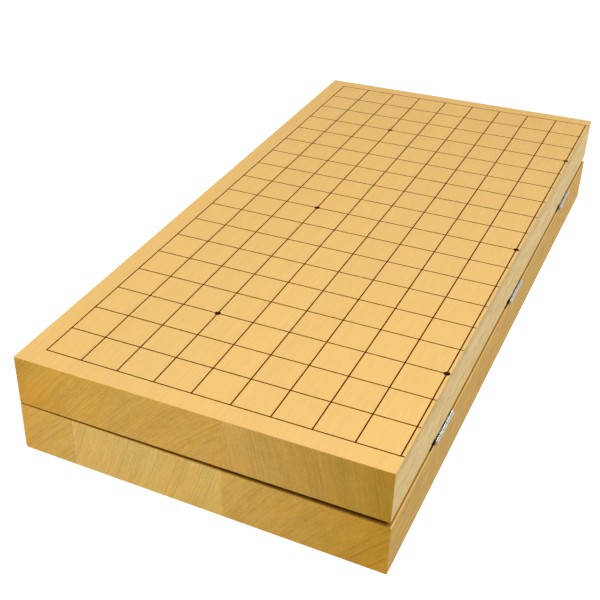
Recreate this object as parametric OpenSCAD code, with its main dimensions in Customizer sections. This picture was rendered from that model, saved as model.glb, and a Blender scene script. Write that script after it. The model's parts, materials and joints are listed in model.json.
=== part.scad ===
// Folding go board, shut with its playing faces outward.
// The lower half lies face down, and the upper half folds over it on three butt hinges.
// Origin at the middle of the lower playing face: +X to the fold, +Y along the fold, +Z up.

/* [Grid] */
// Spacing of the lines that run along the fold
pitch_x = 22; // [18:0.1:26]
// Spacing of the lines that run across the fold
pitch_y = 23.7; // [20:0.1:28]
// Spacing between the centre line and its neighbours
centre_pitch = 22.5; // [18:0.1:27]
// Width of a drawn line
line_w = 0.9; // [0.4:0.05:1.2]
// Depth of the lacquer in lines and star points
line_depth = 0.25; // [0.1:0.05:0.6]
// Diameter of a star point
star_d = 3.8; // [2:0.1:5]
// Distance of the centre line from the fold, on the upper half
centre_line_in = 2.1; // [1:0.1:6]
// Bare wood left between the cross lines and the fold
line_stop = 0.15; // [0.1:0.05:0.3]
// Bare margin outside the upper half's outermost line
outer_margin = 12.7; // [6:0.1:20]
// Bare margin at the front end
front_margin = 12.6; // [6:0.1:20]
// Bare margin at the rear end
rear_margin = 10.8; // [6:0.1:20]

/* [Halves] */
// Thickness of each half
half_t = 30.8; // [20:0.1:60]
// Width of the stave at the outer edge
outer_stave_w = 33.5; // [20:0.5:60]
// Width of the stave in the middle
middle_stave_w = 90; // [60:0.5:110]
// Rounding of the upper half's outer playing edge
upper_edge_r = 0.5; // [0.3:0.1:3]
// Rounding of the lower half's outer playing edge
lower_edge_r = 2.5; // [0.3:0.1:4]
// Rounding of the upright corners at the outer edge
corner_r = 0.4; // [0.3:0.1:4]
// Chamfer on the end edges and the outer under edge
edge_break = 0.25; // [0.2:0.05:1.5]
// Chamfer along the fold on the under face
fold_chamfer = 0.5; // [0.3:0.1:2.5]
// Undercut of the upper half's fold face, so that the playing edges meet first when open
fold_undercut = 0.5; // [0:0.05:0.8]
// Gap left between the outer edges when shut
rest_gap = 0.45; // [0.2:0.05:1]
// Gap left between the fold edges when open flat
open_gap = 0.3; // [0.2:0.05:1]

/* [Hinges] */
// Length of a hinge along the fold
hinge_l = 28.5; // [24:0.5:50]
// Reach of a leaf from the pin's axis
leaf_w = 14; // [12:0.5:24]
// Thickness of a leaf and of the knuckles rolled from it
leaf_t = 0.65; // [0.5:0.05:1]
// Depth that a leaf is let into the wood
leaf_inset = 0.32; // [0.2:0.02:0.6]
// Step of a leaf from its knuckles down to the wood
leaf_joggle = 0.75; // [0.5:0.05:1.2]
// Diameter of a hinge pin
pin_d = 1; // [0.8:0.1:2]
// Radial clearance between a pin and its knuckles
pin_clear = 0.05; // [0.02:0.01:0.1]
// How far a pin stands out of the end knuckles
pin_stand = 0.2; // [0.1:0.05:0.6]
// Knuckles along a hinge, shared by its two leaves
knuckle_count = 5; // [3:2:7]
// Gap between neighbouring knuckles
knuckle_gap = 0.3; // [0.2:0.05:0.6]
// Chamfer on the ends of a knuckle and of a pin
knuckle_break = 0.25; // [0.1:0.05:0.4]
// Clearance between the knuckles and the wood or the other leaf
knuckle_clear = 0.36; // [0.3:0.02:0.8]
// Clearance round a leaf in its recess
seat_clear = 0.4; // [0.2:0.1:1]
// Distance of the end hinges' middles from the board's ends
end_hinge_in = 79.5; // [50:0.5:120]
// Shift of the row of hinges to the rear
hinge_row_shift = 2; // [-10:0.5:10]
// Further shift of the middle hinge to the rear
middle_hinge_shift = 4.4; // [-10:0.1:10]

/* [Clearance notches] */
// Length of the notch before each hinge
notch_l = 6; // [2:0.5:10]
// How far the notch runs on under the hinge
notch_under = 4; // [0.5:0.5:5]
// Reach of the notch from the fold
notch_w = 6; // [3:0.5:6.5]
// Depth of the notch below the under face
notch_depth = 4; // [2:0.1:6]
// Wood left between the notch and the fold face
notch_lip = 0.6; // [0.2:0.1:2]
// Height of the notch's mouth through the upper half's fold face
notch_mouth = 1.6; // [0.5:0.1:3.5]

/* [Screws] */
// Shank diameter of a screw
screw_d = 2.2; // [1.6:0.1:3]
// Length of a screw below its leaf
screw_l = 10; // [6:0.5:16]
// Length of a screw's point
screw_point = 3; // [1.5:0.5:5]
// Distance between the two screws of a leaf
screw_spacing = 18; // [12:0.5:18.5]
// Distance of the screws from the pin's axis
screw_in = 8.6; // [6.5:0.1:10.5]
// Clearance round a screw
screw_clear = 0.05; // [0.02:0.01:0.15]
// Width of the cross slots in a screw head
drive_w = 0.6; // [0.3:0.1:0.9]
// Length of the cross slots in a screw head
drive_l = 2.4; // [1.5:0.1:3]
// Depth of the cross slots in a screw head
drive_depth = 0.5; // [0.2:0.1:0.6]

/* [Hidden] */
$fn = 48;
HALVES = ["lower", "upper"];
STAVES = ["outer_stave", "middle_stave", "inner_stave"];
PLACES = ["front", "middle", "rear"];
LOWER = 0;
UPPER = 1;

// Lines between the centre line and an edge line, and between neighbouring star points
lines_out = 9;
star_step = 6;
first_star = 3;
row_count = 2 * lines_out + 1;

half_w = centre_line_in + centre_pitch + (lines_out - 1) * pitch_x + outer_margin;
half_l = front_margin + (row_count - 1) * pitch_y + rear_margin;
fold_x = half_w / 2;
outer_x = -half_w / 2;
front_y = -half_l / 2;
rear_y = half_l / 2;

// The leaves lie on the recess floors and step up to the knuckles, which sets the height of the axis
bore_r = pin_d / 2 + pin_clear;
barrel_r = bore_r + leaf_t;
axis_rise = barrel_r + leaf_joggle - leaf_inset;
axis_x = fold_x + open_gap / 2;
axis_z = half_t + axis_rise;
leaf_z = half_t - leaf_inset;
knuckle_l = (hinge_l - (knuckle_count - 1) * knuckle_gap) / knuckle_count;
knuckle_step = knuckle_l + knuckle_gap;
tab_short = 0.3 * barrel_r;
plate_w = leaf_w - barrel_r - knuckle_clear;

// Shut, the upper half leans on past parallel until its outer edge all but meets the lower one
close_angle = asin((2 * axis_rise - rest_gap) / (axis_x - outer_x));

// The chamfer along the fold is at least as large as the turning knuckles need
knuckle_room = (barrel_r + knuckle_clear) * sqrt(2) - axis_rise - open_gap / 2;
fold_break = max(fold_chamfer, knuckle_room);

// A right-angled countersink runs through the leaf
head_d = screw_d + 2 * leaf_t;
screw_x = axis_x - screw_in;

// How far a cutting shape runs past the face that it cuts
cut_over = 1;

wood = [0.93, 0.76, 0.47];
lacquer = [0.13, 0.08, 0.04];
zinc = [0.76, 0.78, 0.8];

function stave_name(h, s) = str(HALVES[h], "_", STAVES[s]);
function lines_name(h) = str(HALVES[h], "_grid_lines");
function stars_name(h) = str(HALVES[h], "_star_points");
function leaf_name(p, h) = str(PLACES[p], "_hinge_", HALVES[h], "_leaf");
function screws_name(p, h) = str(PLACES[p], "_hinge_", HALVES[h], "_screws");
function pin_name(p) = str(PLACES[p], "_hinge_pin");

// Centre line on the upper half alone; on the lower half the same grid runs on past the fold
function centre_x(h) = fold_x + (h == LOWER ? centre_line_in : -centre_line_in);
function column_x(h, j) = centre_x(h) - (j == 0 ? 0 : centre_pitch + (j - 1) * pitch_x);
function first_column(h) = h == LOWER ? 1 : 0;
function row_y(k) = front_y + front_margin + k * pitch_y;
function star_columns(h) = h == LOWER ? [star_step] : [0, star_step];
function star_rows() = [for (k = [first_star:star_step:row_count - 1]) k];

// Joints between staves, counted from the outer edge
function stave_joint(s) = outer_x + [0, outer_stave_w, outer_stave_w + middle_stave_w, half_w][s];

// Where the fold face of a half meets its under face
function under_fold_x(h) = fold_x - (h == UPPER ? fold_undercut : 0);

// Middles of the front, middle and rear hinges
function hinge_y(p) = hinge_row_shift
    + [front_y + end_hinge_in, middle_hinge_shift, rear_y - end_hinge_in][p];

// Both halves are drawn in the lower half's place; the upper one is turned over the hinge axis
module place(h) {
    if (h == LOWER) children();
    else translate([axis_x, 0, axis_z]) rotate([0, -close_angle, 0]) mirror([0, 0, 1])
        translate([-axis_x, 0, -axis_z]) children();
}

// Outline of what lies outside a rounded corner at the origin
module round_cut(r) {
    difference() {
        translate([-cut_over, -cut_over]) square(r + cut_over);
        translate([r, r]) circle(r);
    }
}

// Outline of what lies outside a chamfered corner at the origin
module chamfer_cut(b) {
    polygon([[-cut_over, -cut_over], [b + cut_over, -cut_over], [-cut_over, b + cut_over]]);
}

// Section of a half across the fold, with the playing face at the bottom
module half_section(h) {
    difference() {
        polygon([[outer_x, 0], [fold_x, 0], [under_fold_x(h), half_t], [outer_x, half_t]]);
        translate([outer_x, 0]) round_cut(h == LOWER ? lower_edge_r : upper_edge_r);
        translate([outer_x, half_t]) mirror([0, 1]) chamfer_cut(edge_break);
        translate([under_fold_x(h), half_t]) mirror([1, 0]) mirror([0, 1]) chamfer_cut(fold_break);
    }
}

// One half as a single glued-up slab, before it is split, grooved and recessed
module slab(h) {
    difference() {
        rotate([90, 0, 0]) linear_extrude(half_l, center = true) half_section(h);
        for (end = [0, 1], face = [0, 1]) {
            mirror([0, end, 0]) translate([0, front_y, face * half_t]) mirror([0, 0, face])
                rotate([90, 0, 90]) linear_extrude(half_w + 2 * cut_over, center = true)
                    chamfer_cut(edge_break);
        }
        for (end = [0, 1]) {
            mirror([0, end, 0]) translate([outer_x, front_y, -cut_over])
                linear_extrude(half_t + 2 * cut_over) round_cut(corner_r);
        }
    }
}

// Outline of the star points, kept within the half
module star_outline(h) {
    intersection() {
        translate([outer_x, front_y]) square([half_w, half_l]);
        for (j = star_columns(h), k = star_rows()) {
            translate([column_x(h, j), row_y(k)]) circle(d = star_d);
        }
    }
}

// Outline of the drawn lines: the cross lines run out nearly to the fold
module line_outline(h) {
    edge_x = column_x(h, lines_out) - line_w / 2;
    stop_x = fold_x - line_stop;
    for (j = [first_column(h):lines_out]) {
        translate([column_x(h, j) - line_w / 2, row_y(0) - line_w / 2])
            square([line_w, row_y(row_count - 1) - row_y(0) + line_w]);
    }
    for (k = [0:row_count - 1]) {
        translate([edge_x, row_y(k) - line_w / 2]) square([stop_x - edge_x, line_w]);
    }
}

// Grooves that hold the lacquer of the lines and star points
module lacquer_cut(h) {
    translate([0, 0, -cut_over]) linear_extrude(line_depth + cut_over) {
        line_outline(h);
        star_outline(h);
    }
}

// Recess for a leaf, and the deeper notch at its front end, with its mouth in the upper half
module hinge_recess(p, h) {
    front_end = hinge_y(p) - hinge_l / 2 - seat_clear;
    translate([axis_x - leaf_w - seat_clear, front_end, leaf_z])
        cube([leaf_w + seat_clear + cut_over, hinge_l + 2 * seat_clear, leaf_inset + cut_over]);
    translate([under_fold_x(h) - notch_w, front_end - notch_l, half_t - notch_depth])
        cube([notch_w - notch_lip, notch_l + seat_clear + notch_under, notch_depth + cut_over]);
    if (h == UPPER) translate([under_fold_x(h) - notch_w, front_end - notch_l, half_t - notch_mouth])
        cube([notch_w + fold_undercut + cut_over, notch_l + seat_clear, notch_mouth + cut_over]);
}

// Places its children at a leaf's two screws, on the recess floor
module at_screws(p) {
    for (side = [-1, 1]) {
        translate([screw_x, hinge_y(p) + side * screw_spacing / 2, leaf_z]) children();
    }
}

// Point and shank of a screw, from its axis out, grown by a clearance
function shank_outline(grow) = [
    [0, -screw_l - grow],
    [screw_d / 2 + grow, screw_point - screw_l - grow]
];

// A screw's outline turned about its axis, grown by a clearance
module screw_body(grow) {
    rotate_extrude() polygon(concat(
        shank_outline(grow),
        [[screw_d / 2 + grow, 0], [head_d / 2 + grow, leaf_t], [0, leaf_t]]
    ));
}

// Hole in the wood for a screw's shank, open through the recess above it
module pilot_hole() {
    rotate_extrude() polygon(concat(
        shank_outline(screw_clear),
        [[screw_d / 2 + screw_clear, cut_over], [0, cut_over]]
    ));
}

// One length of wood running the whole length of a half
module stave(h, s) {
    color(wood) place(h) difference() {
        intersection() {
            slab(h);
            translate([stave_joint(s), front_y - cut_over, -cut_over])
                cube([stave_joint(s + 1) - stave_joint(s), half_l + 2 * cut_over, half_t + 2 * cut_over]);
        }
        lacquer_cut(h);
        for (p = [0:2]) {
            hinge_recess(p, h);
            at_screws(p) pilot_hole();
        }
    }
}

// Lacquer lines of one half, drawn flush with the playing face
module grid_lines(h) {
    color(lacquer) place(h) linear_extrude(line_depth) difference() {
        line_outline(h);
        star_outline(h);
    }
}

// Lacquer dots of one half
module star_points(h) {
    color(lacquer) place(h) linear_extrude(line_depth) star_outline(h);
}

// A solid turned about the fold direction, with its two ends chamfered
module turned_bar(r, l) {
    rotate([-90, 0, 0]) rotate_extrude() polygon([
        [0, 0], [r - knuckle_break, 0], [r, knuckle_break],
        [r, l - knuckle_break], [r - knuckle_break, l], [0, l]
    ]);
}

// Tab of a leaf: flat from the plate, then a step at 45 degrees up to the underside of its knuckle
module knuckle_tab() {
    step_x = plate_w - leaf_w;
    rise_x = step_x + leaf_joggle;
    root_x = plate_w / 2 - leaf_w;
    lower_side = [[root_x, 0], [step_x, 0], [rise_x, leaf_joggle], [-tab_short, leaf_joggle]];
    upper_side = [for (i = [len(lower_side) - 1:-1:0]) lower_side[i] + [0, leaf_t]];
    translate([0, knuckle_l, 0]) rotate([90, 0, 0]) linear_extrude(knuckle_l)
        polygon(concat(lower_side, upper_side));
}

// Plate of a leaf with every other knuckle, bored for the pin and countersunk for the screws
module hinge_leaf(p, h) {
    front_end = hinge_y(p) - hinge_l / 2;
    color(zinc) place(h) difference() {
        union() {
            translate([axis_x - leaf_w, front_end, leaf_z]) cube([plate_w, hinge_l, leaf_t]);
            for (k = [h:2:knuckle_count - 1]) {
                translate([axis_x, front_end + k * knuckle_step, axis_z]) turned_bar(barrel_r, knuckle_l);
                translate([axis_x, front_end + k * knuckle_step, leaf_z]) knuckle_tab();
            }
        }
        translate([axis_x, front_end - cut_over, axis_z]) rotate([-90, 0, 0])
            cylinder(h = hinge_l + 2 * cut_over, r = bore_r);
        at_screws(p) screw_body(screw_clear);
    }
}

// Pin through all the knuckles of a hinge
module hinge_pin(p) {
    color(zinc) translate([axis_x, hinge_y(p) - hinge_l / 2 - pin_stand, axis_z])
        turned_bar(pin_d / 2, hinge_l + 2 * pin_stand);
}

// The two cross-slotted countersunk screws of a leaf
module hinge_screws(p, h) {
    color(zinc) place(h) at_screws(p) difference() {
        screw_body(0);
        for (turn = [0, 90]) {
            rotate([0, 0, turn]) translate([-drive_l / 2, -drive_w / 2, leaf_t - drive_depth])
                cube([drive_l, drive_w, drive_depth + cut_over]);
        }
    }
}

for (h = [LOWER, UPPER], s = [0:2]) stave(h, s);
for (h = [LOWER, UPPER]) grid_lines(h);
for (h = [LOWER, UPPER]) star_points(h);
for (p = [0:2], h = [LOWER, UPPER]) hinge_leaf(p, h);
for (p = [0:2]) hinge_pin(p);
for (p = [0:2], h = [LOWER, UPPER]) hinge_screws(p, h);
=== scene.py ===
"""Folding go board, shut with its playing faces outward, on a white studio floor."""

import json
import math

import bpy
import numpy as np
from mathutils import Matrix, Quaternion, Vector


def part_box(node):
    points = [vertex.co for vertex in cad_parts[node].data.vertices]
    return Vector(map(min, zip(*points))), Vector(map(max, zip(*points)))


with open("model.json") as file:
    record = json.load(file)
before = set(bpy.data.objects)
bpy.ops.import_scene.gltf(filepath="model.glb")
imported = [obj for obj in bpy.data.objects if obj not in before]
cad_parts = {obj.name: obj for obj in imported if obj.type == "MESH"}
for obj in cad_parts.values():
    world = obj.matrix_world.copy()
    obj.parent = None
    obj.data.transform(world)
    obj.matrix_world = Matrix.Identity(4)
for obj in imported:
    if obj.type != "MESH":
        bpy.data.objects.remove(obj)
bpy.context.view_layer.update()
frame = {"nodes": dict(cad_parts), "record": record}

MM = 0.001
HALVES = ("lower", "upper")
STAVES = ("outer", "middle", "inner")

# Shut, the upper half leans a little past parallel to the lower one
LEAN = math.radians(frame["record"]["behaviour"]["joints"][0]["range_deg"][1] - 180)

# The camera stands by the fold corner of the near end, and looks down along the board
CAMERA_PLACE_MM = (204.6, -579.5, 389.4)
CAMERA_AZIMUTH = 26.61
CAMERA_TILT = 32.40
CAMERA_ROLL = -0.08
IMAGE_PX = 600
FOCAL_PX = 1058.3
CENTRE_PX = (239.2, 296.0)
SENSOR_MM = 36

# Soft light from overhead, tilted to the fold, that fades out away from its middle
SKY_FROM = Vector((0.35, 0.15, 0.92)).normalized()
SKY_LEVEL = 1.18
SKY_FADE = 2.5

# Lamps: place and size in m, watts, and whether the metal mirrors them
LAMPS = (
    ("over_lamp", (0.3, -0.40, 0.8), 0.5, 4.35, False),
    ("low_lamp", (-0.3, -0.75, 0.03), 0.1, 2.2, False),
    ("side_lamp", (0.85, 0.75, 0.05), 0.1, 2.2, False),
    ("rear_lamp", (0.2, 0.75, 0.76), 0.15, 0.85, True),
    ("left_lamp", (-0.9, 0.2, 0.06), 0.1, 4.5, False),
)

# Floor paper: half its width in m, its drop below the board, its tone for the light that it sends back, and
# what is added to that where the paper is seen, to reach white
FLOOR_REACH = 6.0
FLOOR_DROP_MM = 0.05
PAPER = "#B4B4B4"
PAPER_LIFT = 0.8

# Wood of each stave: where its pith lies in the section, in mm from the outer playing edge of its half
# (towards the fold, into the wood), the spacing of its rings, the tone of its playing face, the two tones of
# the streaks on its sides, the tones of its ends towards the outer edge and towards the fold, and the tone of
# its under face and of every surface cut into it, which are left without wax. That tone is also darkened as
# painted shade, standing for the shade in the gap between the shut halves and in the notches
WOOD = {
    "lower_outer": dict(pith=(320, -290), ring=2.0, face="#F4C87B", side=("#EFC883", "#D9B26E"),
                        end=("#D3A149", "#CEAB5C"), bare_and_shaded="#B48537"),
    "lower_middle": dict(pith=(-390, 170), ring=1.8, face="#F0C77C", side=("#EFC883", "#D9B26E"),
                         end=("#D9B469", "#DEB763"), bare_and_shaded="#BD8D3B"),
    "lower_inner": dict(pith=(430, -182), ring=2.6, face="#E8BD71", side=("#F6C769", "#E7B863"),
                        end=("#D5AB57", "#C99631"), bare_and_shaded="#B08133"),
    "upper_outer": dict(pith=(370, 305), ring=1.8, face="#F4C77A", side=("#F1CA85", "#DBB470"),
                        end=("#C8933B", "#CEA249"), bare_and_shaded="#B98939"),
    "upper_middle": dict(pith=(370, 305), ring=1.8, face="#F1C579", side=("#F1CA85", "#DBB470"),
                         end=("#D0A34C", "#D4A752"), bare_and_shaded="#B28335"),
    "upper_inner": dict(pith=(-210, 95), ring=1.5, face="#EFC378", side=("#F8D99A", "#E8CA8A"),
                        end=("#D4AA5B", "#BA8E31"), bare_and_shaded="#B68637"),
}

# Marks in the wood: size across and along the grain in mm, and detail, with one roughness for all. Fibres and
# pores are under 0.1 mm wide, which is too fine to show in the render, so they are drawn as coarse as they
# need to show
FIBRE = (0.5, 24, 3.0)
FLECK = (1.0, 9, 2.0)
STREAK = (1.7, 16, 3.0)
CLOUD = (5, 60, 2.0)
MOTTLE = (24, 150, 2.0)
GRAIN_ROUGHNESS = 0.6

# Growth rings: slow noise, sized as the marks are, moves them this far off their circles
RING_WANDER = (110, 600, 1.0)
RING_WANDER_MM = 6.0

# Their spacing changes over this distance, with this detail, by up to this many rings
RING_UNEVEN_OVER_MM = 5
RING_UNEVEN_DETAIL = 1.0
RING_UNEVEN = 1.2

# Dark at two places across a ring, which starts at 0 and ends at 1
LATE_WOOD = ((0.5, 0.2), (0.8, 1.0))

# Short strokes and broad bands along the rings: size across and along them in mm, and detail
STROKE = (1.1, 12, 2.0)
BAND = (9, 50, 2.0)
STROKE_ROUGHNESS = 0.55

# Mean of each pattern, and how strongly it darkens the playing faces, the sides and the ends
DARKENING = {
    "ring": (0.2, (0.02, 0.02, 0.14)),
    "fibre": (0.5, (0.13, 0.50, 0.60)),
    "fleck": (0.5, (0.11, 0.50, 0.30)),
    "cloud": (0.5, (0.06, 0.12, 0.14)),
    "stroke": (0.5, (0.0, 0.0, 0.27)),
    "band": (0.5, (0.0, 0.0, 0.22)),
}

# Tints of the patches, which multiply the tone's red, green and blue, and how strongly they show on the
# playing faces, the sides and the ends
ORANGE_TINT = (1.03, 0.985, 0.90, 1)
OLIVE_TINT = (0.975, 1.01, 1.09, 1)
TINT_SHARES = (0.25, 0.6, 1.0)

# Noise values between which a streak or a patch goes from one tone to the other
STREAK_SPAN = (0.35, 0.65)
PATCH_SPAN = (0.3, 0.7)

# How squarely a surface faces, from where it begins to count as a cut to where it fully does. A share of how
# it faces the end goes to the under face, so that the edge between the two counts as under face
CUT_SPAN = (0.7, 0.9)
UNDER_SPAN = (0.75, 0.9)
UNDER_EDGE_SHARE = 0.3

# Hollows: how far below the outside of a half they begin, to be full at twice that, and the share of the tone
# left there as painted shade, which stands for the shade deep in a notch or bore
HOLLOW_BELOW_MM = 0.6
HOLLOW_SHADE = 0.45

# Glue line along both sides of a stave: its width, and the share of the tone that it leaves, which the tones
# of the long sides allow for
GLUE_LINE_MM = 0.15
GLUE_SHADE = 0.8

# Surface of the wood: roughness from the lowest to the highest of its fibres, their relief, and the wax
WOOD_ROUGHNESS = (0.44, 0.6)
RELIEF_MM = 0.04
RELIEF_STRENGTH = 0.2
WAX_SHINE = 0.02

# Grid: width of a line and of a star point, spacing of the lines, where the line by the fold is looked for,
# from the outer edge, and how much wider the space before it is
LINE_MM = 0.9
STAR_MM = 3.8
COLUMN_MM = 22
ROW_MM = 23.7
FOLD_LINE_FROM_MM = 200
FOLD_LINE_SHIFT_MM = 0.5

# Lacquer: tones where it lies thick and where it is thin, and the shares of a mark's width, from its middle,
# where it begins to thin and where it is thinnest
LACQUER_THICK = "#1C0A02"
LACQUER_THIN = "#B46C10"
LINE_THINS = (0.22, 0.40)
STAR_THINS = (0.40, 0.48)
LACQUER_ROUGHNESS = 0.5
LACQUER_SHINE = 0.04

# Zinc plate: tones and roughness between its rolling marks, and the marks' size across and along in mm, drawn
# as coarse as they need to show, and detail
ZINC_TONES = ("#A0A2A2", "#BCBDBB")
ZINC_ROUGHNESS = (0.18, 0.28)
ROLLING = (0.3, 12, 3.0)
ROLLING_ROUGHNESS = 0.5

# Sockets of a colour Mix node
MIX_FACTOR = 0
MIX_A = 6
MIX_B = 7
MIX_COLOUR = 2


def linear(hex_colour):
    """Linear red, green, blue and alpha of an sRGB hex colour."""
    srgb = np.array([int(hex_colour[i:i + 2], 16) for i in (1, 3, 5)]) / 255
    low = srgb / 12.92
    high = ((srgb + 0.055) / 1.055) ** 2.4
    return (*np.where(srgb <= 0.04045, low, high).tolist(), 1.0)


def add(tree, kind, inputs=None, **settings):
    """Adds a node with its settings; an input is linked from a socket or a node, or set to a value."""
    node = tree.nodes.new(kind)
    for key, value in settings.items():
        setattr(node, key, value)
    for key, value in (inputs or {}).items():
        if isinstance(value, bpy.types.Node):
            value = value.outputs[0]
        if isinstance(value, bpy.types.NodeSocket):
            tree.links.new(value, node.inputs[key])
        else:
            node.inputs[key].default_value = value
    return node


def new_material(name):
    """An empty node material and its tree."""
    material = bpy.data.materials.new(name)
    material.use_nodes = True
    material.node_tree.nodes.clear()
    return material, material.node_tree


def dress(names, material):
    """Gives one material to CAD nodes by name."""
    for name in names:
        mesh = frame["nodes"][name].data
        mesh.materials.clear()
        mesh.materials.append(material)


def half_frame(half):
    """Outer playing edge of a half at rest, its direction to the fold, and its direction into the wood."""
    low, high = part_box(f"{half}_outer_stave")
    if half == "lower":
        return Vector((low.x, 0, low.z)), Vector((1, 0, 0)), Vector((0, 0, 1))
    across = Vector((math.cos(LEAN), 0, math.sin(LEAN)))
    edge = Vector((low.x, 0, high.z - (high.x - low.x) * math.tan(LEAN)))
    return edge, across, Vector((math.sin(LEAN), 0, -math.cos(LEAN)))


def place_in_half(tree, half):
    """Place and normal, and the place in mm: to the fold from the outer edge, along, and into the wood."""
    place = add(tree, "ShaderNodeTexCoord")
    edge, across, inward = half_frame(half)
    from_edge = add(tree, "ShaderNodeVectorMath", {0: place.outputs["Object"], 1: edge}, operation="SUBTRACT")
    in_mm = [
        add(tree, "ShaderNodeVectorMath", {
            0: from_edge, 1: way / MM,
        }, operation="DOT_PRODUCT").outputs["Value"]
        for way in (across, Vector((0, 1, 0)), inward)
    ]
    return place, *in_mm


def streaks(tree, place, across_mm, along_mm, detail, roughness=GRAIN_ROUGHNESS):
    """Noise drawn out along the length of the board, from 0 to 1."""
    stretched = add(tree, "ShaderNodeMapping", {
        "Vector": place.outputs["Object"],
        "Scale": (1 / across_mm / MM, 1 / along_mm / MM, 1 / across_mm / MM),
    })
    return add(tree, "ShaderNodeTexNoise", {
        "Vector": stretched, "Scale": 1.0, "Detail": detail, "Roughness": roughness,
    }).outputs["Fac"]


def growth_rings(tree, place, to_fold, to_under, pith, ring):
    """Dark of the rings round a pith, and the strokes and bands that follow them, each from 0 to 1.

    Slow noise moves the rings off their circles and changes their spacing. Each ring darkens to its late
    wood by a strength of its own.
    """
    leg = [
        add(tree, "ShaderNodeMath", {0: way, 1: at}, operation="SUBTRACT")
        for way, at in zip((to_fold, to_under), pith)
    ]
    section = add(tree, "ShaderNodeCombineXYZ", {"X": leg[0], "Y": leg[1]})
    radius = add(tree, "ShaderNodeVectorMath", {0: section}, operation="LENGTH").outputs["Value"]
    angle = add(tree, "ShaderNodeMath", {0: leg[1], 1: leg[0]}, operation="ARCTAN2")
    moved = add(tree, "ShaderNodeMath", {
        0: streaks(tree, place, *RING_WANDER), 1: RING_WANDER_MM, 2: radius,
    }, operation="MULTIPLY_ADD")

    uneven = add(tree, "ShaderNodeTexNoise", {
        "W": add(tree, "ShaderNodeMath", {0: moved, 1: 1 / RING_UNEVEN_OVER_MM}, operation="MULTIPLY"),
        "Scale": 1.0, "Detail": RING_UNEVEN_DETAIL,
    }, noise_dimensions="1D").outputs["Fac"]
    count = add(tree, "ShaderNodeMath", {0: moved, 1: 1 / ring}, operation="MULTIPLY")
    phase = add(tree, "ShaderNodeMath", {0: uneven, 1: RING_UNEVEN, 2: count}, operation="MULTIPLY_ADD")
    turn = add(tree, "ShaderNodeMath", {0: phase}, operation="FRACT")
    year = add(tree, "ShaderNodeMath", {0: phase}, operation="FLOOR")
    strength = add(tree, "ShaderNodeTexWhiteNoise", {"W": year}, noise_dimensions="1D").outputs["Value"]
    late = add(tree, "ShaderNodeValToRGB", {"Fac": turn})
    late.color_ramp.interpolation = "EASE"
    for at, grey in LATE_WOOD:
        late.color_ramp.elements.new(at).color = (grey, grey, grey, 1)
    dark = add(tree, "ShaderNodeMath", {0: late, 1: strength}, operation="MULTIPLY")

    following = []
    for across_mm, along_mm, detail in (STROKE, BAND):
        per_turn = math.hypot(*pith) / along_mm
        on_ring = add(tree, "ShaderNodeCombineXYZ", {
            "X": add(tree, "ShaderNodeMath", {0: moved, 1: 1 / across_mm}, operation="MULTIPLY"),
            "Y": add(tree, "ShaderNodeMath", {0: angle, 1: per_turn}, operation="MULTIPLY"),
        })
        following.append(add(tree, "ShaderNodeTexNoise", {
            "Vector": on_ring, "Scale": 1.0, "Detail": detail, "Roughness": STROKE_ROUGHNESS,
        }, noise_dimensions="2D").outputs["Fac"])
    return dark, *following


def wood_cuts(tree, place, half, to_fold, along, to_under):
    """How far a surface counts as a side, an end, a hollow, bare wood, and side or bare, each from 0 to 1.

    Sides and ends are told by the normal. Hollows lie below the outside of the half, and they and the under
    face are bare, without wax, and take a tone darkened as painted shade of the gap between the halves.
    """
    normal = add(tree, "ShaderNodeSeparateXYZ", {0: place.outputs["Normal"]})
    facing = {}
    cut = {}
    for name, axis in (("side", "X"), ("end", "Y")):
        facing[name] = add(tree, "ShaderNodeMath", {0: normal.outputs[axis]}, operation="ABSOLUTE")
        cut[name] = add(tree, "ShaderNodeMapRange", {
            "Value": facing[name], "From Min": CUT_SPAN[0], "From Max": CUT_SPAN[1],
        }, interpolation_type="SMOOTHSTEP")

    inward = half_frame(half)[2]
    facing_under = add(tree, "ShaderNodeVectorMath", {
        0: place.outputs["Normal"], 1: inward,
    }, operation="DOT_PRODUCT").outputs["Value"]
    under_and_edges = add(tree, "ShaderNodeMath", {
        0: facing["end"], 1: UNDER_EDGE_SHARE, 2: facing_under,
    }, operation="MULTIPLY_ADD")
    under = add(tree, "ShaderNodeMapRange", {
        "Value": under_and_edges, "From Min": UNDER_SPAN[0], "From Max": UNDER_SPAN[1],
    }, interpolation_type="SMOOTHSTEP")

    reach = (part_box("lower_inner_stave")[1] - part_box("lower_outer_stave")[0]) / MM
    from_middle = add(tree, "ShaderNodeMath", {0: along}, operation="ABSOLUTE")
    below = add(tree, "ShaderNodeMath", {0: to_under, 1: to_fold}, operation="MINIMUM")
    for limit, way in ((reach.z, to_under), (reach.x, to_fold), (reach.y / 2, from_middle)):
        depth = add(tree, "ShaderNodeMath", {0: limit, 1: way}, operation="SUBTRACT")
        below = add(tree, "ShaderNodeMath", {0: below, 1: depth}, operation="MINIMUM")
    cut["hollow"] = add(tree, "ShaderNodeMapRange", {
        "Value": below, "From Min": HOLLOW_BELOW_MM, "From Max": 2 * HOLLOW_BELOW_MM,
    })
    cut["bare_and_shaded"] = add(tree, "ShaderNodeMath", {0: under, 1: cut["hollow"]}, operation="MAXIMUM")
    cut["side_or_bare"] = add(tree, "ShaderNodeMath", {0: cut["side"], 1: cut["bare_and_shaded"]}, operation="MAXIMUM")
    return cut


def by_cut(tree, cut, on_faces, on_sides, on_ends):
    """A value that goes by the cut: on the playing faces, on the sides and bare wood, and on the ends."""
    long_cuts = add(tree, "ShaderNodeMapRange", {
        "Value": cut["side_or_bare"], "To Min": on_faces, "To Max": on_sides,
    })
    return add(tree, "ShaderNodeMapRange", {"Value": cut["end"], "To Min": long_cuts, "To Max": on_ends})


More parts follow.
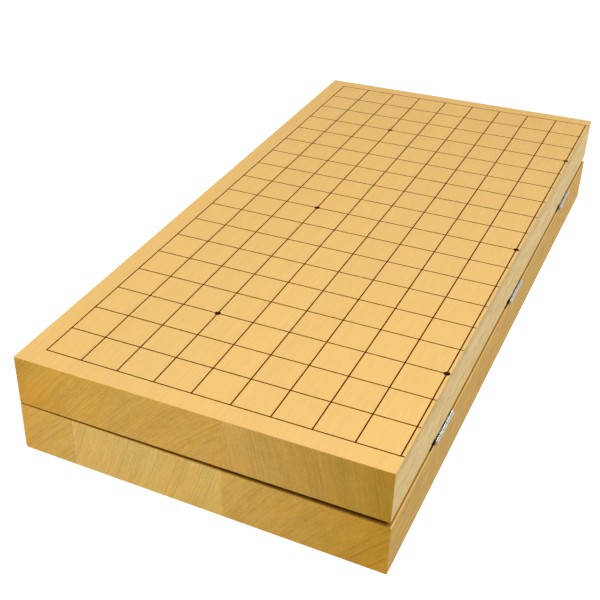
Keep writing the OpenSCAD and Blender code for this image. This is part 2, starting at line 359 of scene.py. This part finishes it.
def wood_tone(tree, place, cut, across, face, side, end, bare_and_shaded):
    """Tone of the wood by its cut, with streaks on the sides and with orange and olive patches.

    The ends turn from one tone to the other across the stave, from 0 at its outer side to 1 towards the fold.
    """
    streak = add(tree, "ShaderNodeMapRange", {
        "Value": streaks(tree, place, *STREAK), "From Min": STREAK_SPAN[0], "From Max": STREAK_SPAN[1],
    }, interpolation_type="SMOOTHSTEP")
    patch = add(tree, "ShaderNodeMapRange", {
        "Value": streaks(tree, place, *MOTTLE), "From Min": PATCH_SPAN[0], "From Max": PATCH_SPAN[1],
    }, interpolation_type="SMOOTHSTEP")
    side_tone, end_tone, tint = [
        add(tree, "ShaderNodeMix", {
            MIX_FACTOR: share, MIX_A: first, MIX_B: second,
        }, data_type="RGBA").outputs[MIX_COLOUR]
        for share, first, second in (
            (streak, linear(side[0]), linear(side[1])),
            (across, linear(end[0]), linear(end[1])),
            (patch, ORANGE_TINT, OLIVE_TINT),
        )
    ]
    tone = linear(face)
    # The bare tone on the under faces and in the hollows is unwaxed wood, darkened as painted shade of the
    # gap and the notches
    for share, over in ((cut["side"], side_tone), (cut["end"], end_tone), (cut["bare_and_shaded"], linear(bare_and_shaded))):
        tone = add(tree, "ShaderNodeMix", {
            MIX_FACTOR: share, MIX_A: tone, MIX_B: over,
        }, data_type="RGBA").outputs[MIX_COLOUR]
    return add(tree, "ShaderNodeMix", {
        MIX_FACTOR: by_cut(tree, cut, *TINT_SHARES), MIX_A: tone, MIX_B: tint,
    }, data_type="RGBA", blend_type="MULTIPLY").outputs[MIX_COLOUR]


def wood_shade(tree, cut, patterns, to_fold, stave_low, stave_high):
    """Share of the tone that the patterns, the glue lines and the painted shade in hollows leave.

    The patterns darken and lighten about their means, so that the mean tone stays.
    """
    drop = 0.0
    lightest = np.ones(3)
    for name, (mean, shares) in DARKENING.items():
        drop = add(tree, "ShaderNodeMath", {
            0: patterns[name], 1: by_cut(tree, cut, *shares), 2: drop,
        }, operation="MULTIPLY_ADD")
        lightest += mean * np.array(shares)
    highest = by_cut(tree, cut, *lightest.tolist())
    shade = add(tree, "ShaderNodeMath", {0: highest, 1: drop}, operation="SUBTRACT")

    from_low = add(tree, "ShaderNodeMath", {0: to_fold, 1: stave_low}, operation="SUBTRACT")
    from_high = add(tree, "ShaderNodeMath", {0: stave_high, 1: to_fold}, operation="SUBTRACT")
    from_joint = add(tree, "ShaderNodeMath", {0: from_low, 1: from_high}, operation="MINIMUM")
    glue = add(tree, "ShaderNodeMapRange", {
        "Value": from_joint, "From Min": 0.0, "From Max": GLUE_LINE_MM, "To Min": GLUE_SHADE, "To Max": 1.0,
    })
    # Painted shade: the hollows are darkened to stand for the shade deep inside a notch or bore
    hollow_painted_shade = add(tree, "ShaderNodeMapRange", {"Value": cut["hollow"], "To Min": 1.0, "To Max": HOLLOW_SHADE})
    marked = add(tree, "ShaderNodeMath", {0: glue, 1: hollow_painted_shade}, operation="MULTIPLY")
    return add(tree, "ShaderNodeMath", {0: shade, 1: marked}, operation="MULTIPLY")


def planed_katsura(half, stave, pith, ring, face, side, end, bare_and_shaded):
    """Katsura wood, planed, with a trace of wax shine: faint rings round a pith far outside the stave.

    The rings show as fine, nearly straight lines and short strokes on the golden ends, which turn from
    orange to olive in patches. The playing faces are even, with a trace of fibre, the sides have grey
    streaks, and bare wood inside the fold is a dull brown, darkened as painted shade of the gap between the
    halves. A thin dark glue line edges each stave's end.
    """
    material, tree = new_material(f"planed_katsura_{half}_{stave}")
    place, to_fold, along, to_under = place_in_half(tree, half)
    cut = wood_cuts(tree, place, half, to_fold, along, to_under)
    ring_dark, stroke, band = growth_rings(tree, place, to_fold, to_under, pith, ring)
    fibre = streaks(tree, place, *FIBRE)
    patterns = {
        "ring": ring_dark,
        "fibre": fibre,
        "fleck": streaks(tree, place, *FLECK),
        "cloud": streaks(tree, place, *CLOUD),
        "stroke": stroke,
        "band": band,
    }

    outer_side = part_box("lower_outer_stave")[0].x
    stave_low, stave_high = [(corner.x - outer_side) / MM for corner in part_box(f"lower_{stave}_stave")]
    across = add(tree, "ShaderNodeMapRange", {
        "Value": to_fold, "From Min": stave_low, "From Max": stave_high,
    })
    tone = wood_tone(tree, place, cut, across, face, side, end, bare_and_shaded)
    shade = wood_shade(tree, cut, patterns, to_fold, stave_low, stave_high)
    colour = add(tree, "ShaderNodeVectorMath", {0: tone, "Scale": shade}, operation="SCALE")
    rough = add(tree, "ShaderNodeMapRange", {
        "Value": fibre, "To Min": WOOD_ROUGHNESS[0], "To Max": WOOD_ROUGHNESS[1],
    })
    relief = add(tree, "ShaderNodeBump", {
        "Height": fibre, "Strength": RELIEF_STRENGTH, "Distance": RELIEF_MM * MM,
    })
    surface = add(tree, "ShaderNodeBsdfPrincipled", {
        "Base Color": colour, "Roughness": rough, "Normal": relief, "Specular IOR Level": WAX_SHINE,
    })
    add(tree, "ShaderNodeOutputMaterial", {"Surface": surface})
    return material


def drawn_lacquer(half, mark):
    """Lacquer drawn by hand and left to level: nearly black, and amber where it thins at an edge."""
    material, tree = new_material(f"drawn_lacquer_{half}_{mark}")
    _, to_fold, along, _ = place_in_half(tree, half)
    first = (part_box(f"{half}_grid_lines")[0] - half_frame(half)[0]) / MM
    last = add(tree, "ShaderNodeMath", {0: to_fold, 1: FOLD_LINE_FROM_MM}, operation="GREATER_THAN")
    column = add(tree, "ShaderNodeMath", {
        0: last, 1: -FOLD_LINE_SHIFT_MM, 2: to_fold,
    }, operation="MULTIPLY_ADD")
    off = []
    for way, start, pitch in ((column, first.x, COLUMN_MM), (along, first.y, ROW_MM)):
        run = add(tree, "ShaderNodeMath", {0: way, 1: start + LINE_MM / 2}, operation="SUBTRACT")
        off.append(add(tree, "ShaderNodeMath", {0: run, 1: pitch / 2}, operation="PINGPONG"))
    if mark == "lines":
        from_middle = add(tree, "ShaderNodeMath", {0: off[0], 1: off[1]}, operation="MINIMUM")
        thick_to, thin_from = np.array(LINE_THINS) * LINE_MM
    else:
        crossing = add(tree, "ShaderNodeCombineXYZ", {"X": off[0], "Y": off[1]})
        from_middle = add(tree, "ShaderNodeVectorMath", {0: crossing}, operation="LENGTH").outputs["Value"]
        thick_to, thin_from = np.array(STAR_THINS) * STAR_MM
    thin = add(tree, "ShaderNodeMapRange", {
        "Value": from_middle, "From Min": thick_to, "From Max": thin_from,
    }, interpolation_type="SMOOTHSTEP")
    colour = add(tree, "ShaderNodeMix", {
        MIX_FACTOR: thin, MIX_A: linear(LACQUER_THICK), MIX_B: linear(LACQUER_THIN),
    }, data_type="RGBA")
    surface = add(tree, "ShaderNodeBsdfPrincipled", {
        "Base Color": colour.outputs[MIX_COLOUR], "Roughness": LACQUER_ROUGHNESS,
        "Specular IOR Level": LACQUER_SHINE,
    })
    add(tree, "ShaderNodeOutputMaterial", {"Surface": surface})
    return material


def zinc_plate():
    """Steel with bright zinc plate: pale grey metal with fine marks from rolling."""
    material, tree = new_material("bright_zinc_plate")
    place = add(tree, "ShaderNodeTexCoord")
    marks = streaks(tree, place, *ROLLING, ROLLING_ROUGHNESS)
    colour = add(tree, "ShaderNodeMix", {
        MIX_FACTOR: marks, MIX_A: linear(ZINC_TONES[0]), MIX_B: linear(ZINC_TONES[1]),
    }, data_type="RGBA")
    rough = add(tree, "ShaderNodeMapRange", {
        "Value": marks, "To Min": ZINC_ROUGHNESS[0], "To Max": ZINC_ROUGHNESS[1],
    })
    surface = add(tree, "ShaderNodeBsdfPrincipled", {
        "Base Color": colour.outputs[MIX_COLOUR], "Metallic": 1.0, "Roughness": rough,
    })
    add(tree, "ShaderNodeOutputMaterial", {"Surface": surface})
    return material


def seen_directly(tree):
    """One for rays from the camera, mirror rays and rays through glass; zero for light on surfaces."""
    path = add(tree, "ShaderNodeLightPath")
    seen = add(tree, "ShaderNodeMath", {
        0: path.outputs["Is Camera Ray"], 1: path.outputs["Is Glossy Ray"],
    }, operation="MAXIMUM")
    return add(tree, "ShaderNodeMath", {0: seen, 1: path.outputs["Is Transmission Ray"]}, operation="MAXIMUM")


def white_floor():
    """Floor of matt white paper, which looks as white as the room behind it."""
    material, tree = new_material("white_floor_paper")
    lift = add(tree, "ShaderNodeMath", {0: seen_directly(tree), 1: PAPER_LIFT}, operation="MULTIPLY")
    glow = add(tree, "ShaderNodeEmission", {"Strength": lift})
    paper = add(tree, "ShaderNodeBsdfDiffuse", {"Color": linear(PAPER)})
    both = add(tree, "ShaderNodeAddShader", {0: glow, 1: paper})
    add(tree, "ShaderNodeOutputMaterial", {"Surface": both})

    corners = FLOOR_REACH * np.array([(-1, -1, 0), (1, -1, 0), (1, 1, 0), (-1, 1, 0)])
    mesh = bpy.data.meshes.new("floor")
    mesh.from_pydata((corners + (0, 0, -FLOOR_DROP_MM * MM)).tolist(), [], [(0, 1, 2, 3)])
    mesh.materials.append(material)
    floor = bpy.data.objects.new("floor", mesh)
    bpy.context.collection.objects.link(floor)


def white_room():
    """White surroundings, and the soft light that comes from overhead."""
    world = bpy.data.worlds.new("white_room")
    world.use_nodes = True
    bpy.context.scene.world = world
    tree = world.node_tree
    tree.nodes.clear()
    direction = add(tree, "ShaderNodeTexCoord")
    toward = add(tree, "ShaderNodeVectorMath", {
        0: direction.outputs["Generated"], 1: SKY_FROM,
    }, operation="DOT_PRODUCT").outputs["Value"]
    near_middle = add(tree, "ShaderNodeMath", {0: toward, 1: 0.0}, operation="MAXIMUM")
    faded = add(tree, "ShaderNodeMath", {0: near_middle, 1: SKY_FADE}, operation="POWER")
    light = add(tree, "ShaderNodeMath", {0: faded, 1: SKY_LEVEL}, operation="MULTIPLY")
    level = add(tree, "ShaderNodeMapRange", {"Value": seen_directly(tree), "To Min": light, "To Max": 1.0})
    sky = add(tree, "ShaderNodeBackground", {"Color": (1, 1, 1, 1), "Strength": level})
    add(tree, "ShaderNodeOutputWorld", {"Surface": sky})


def weak_lamps():
    """Area lamps that face the middle of the board."""
    for name, at, size, power, mirrored in LAMPS:
        lamp = bpy.data.lights.new(name, "AREA")
        lamp.size = size
        lamp.energy = power
        holder = bpy.data.objects.new(name, lamp)
        holder.visible_camera = False
        holder.visible_glossy = mirrored
        holder.location = at
        holder.rotation_euler = (-Vector(at)).to_track_quat("-Z", "Y").to_euler()
        bpy.context.collection.objects.link(holder)


def photo_camera():
    """Camera at the photograph's angle; the shift puts the picture's centre where the lens axis fell."""
    data = bpy.data.cameras.new("camera")
    data.sensor_width = SENSOR_MM
    data.lens = FOCAL_PX / IMAGE_PX * SENSOR_MM
    data.shift_x = 0.5 - CENTRE_PX[0] / IMAGE_PX
    data.shift_y = CENTRE_PX[1] / IMAGE_PX - 0.5
    camera = bpy.data.objects.new("camera", data)
    azimuth = math.radians(CAMERA_AZIMUTH)
    tilt = math.radians(CAMERA_TILT)
    look = Vector((-math.sin(azimuth) * math.cos(tilt), math.cos(azimuth) * math.cos(tilt), -math.sin(tilt)))
    camera.location = Vector(CAMERA_PLACE_MM) * MM
    turn = look.to_track_quat("-Z", "Y") @ Quaternion((0, 0, 1), math.radians(CAMERA_ROLL))
    camera.rotation_euler = turn.to_euler()
    bpy.context.collection.objects.link(camera)
    bpy.context.scene.camera = camera


photo_camera()
white_floor()
white_room()
weak_lamps()
for half in HALVES:
    for stave in STAVES:
        dress([f"{half}_{stave}_stave"], planed_katsura(half, stave, **WOOD[f"{half}_{stave}"]))
    dress([f"{half}_grid_lines"], drawn_lacquer(half, "lines"))
    dress([f"{half}_star_points"], drawn_lacquer(half, "dots"))
dress([name for name in frame["nodes"] if "hinge" in name], zinc_plate())

bpy.context.scene.view_settings.view_transform = "Standard"
